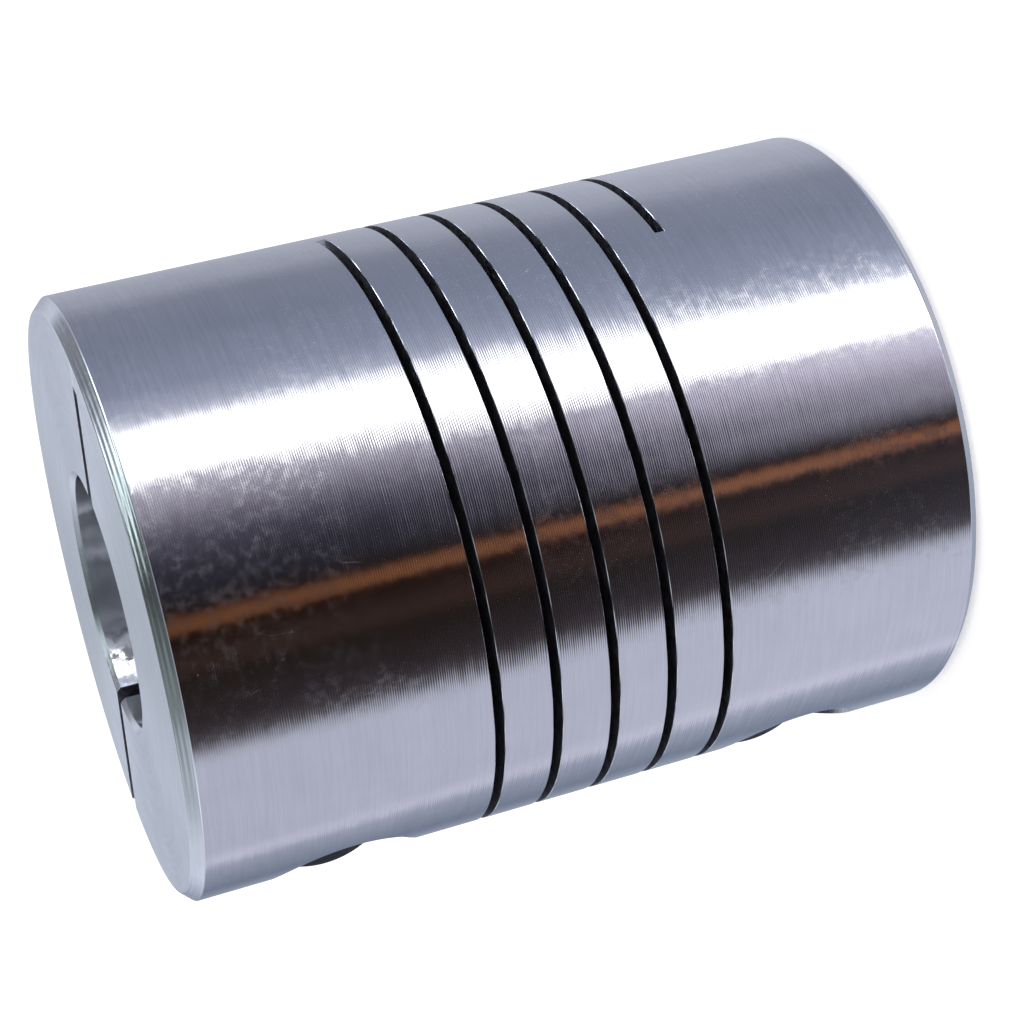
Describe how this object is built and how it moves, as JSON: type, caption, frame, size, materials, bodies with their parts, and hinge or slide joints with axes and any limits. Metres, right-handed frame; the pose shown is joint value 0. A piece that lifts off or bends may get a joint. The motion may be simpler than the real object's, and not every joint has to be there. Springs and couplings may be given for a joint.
{
  "type": "helical beam shaft coupling",
  "caption": "One-piece aluminium shaft coupling with a spiral-cut flexible middle and split clamp hubs, joining two round shafts in line.",
  "frame": {"origin": "centre of the lower end face, on the shaft axis", "axes": "+Z along the shaft axis from the lower hub to the upper one; both clamp slits open towards -X; the clamp screws are driven from the -Y side"},
  "size_m": [0.019, 0.019, 0.025],
  "materials": {
    "turned_aluminium": "fine turned, bright, uncoated",
    "black_oxide_steel": "black oxide, slightly oily"
  },
  "bodies": {
    "root": {"coupling_body": "turned_aluminium", "upper_clamp_screw": "black_oxide_steel", "lower_clamp_screw": "black_oxide_steel"}
  },
  "joints": []
}
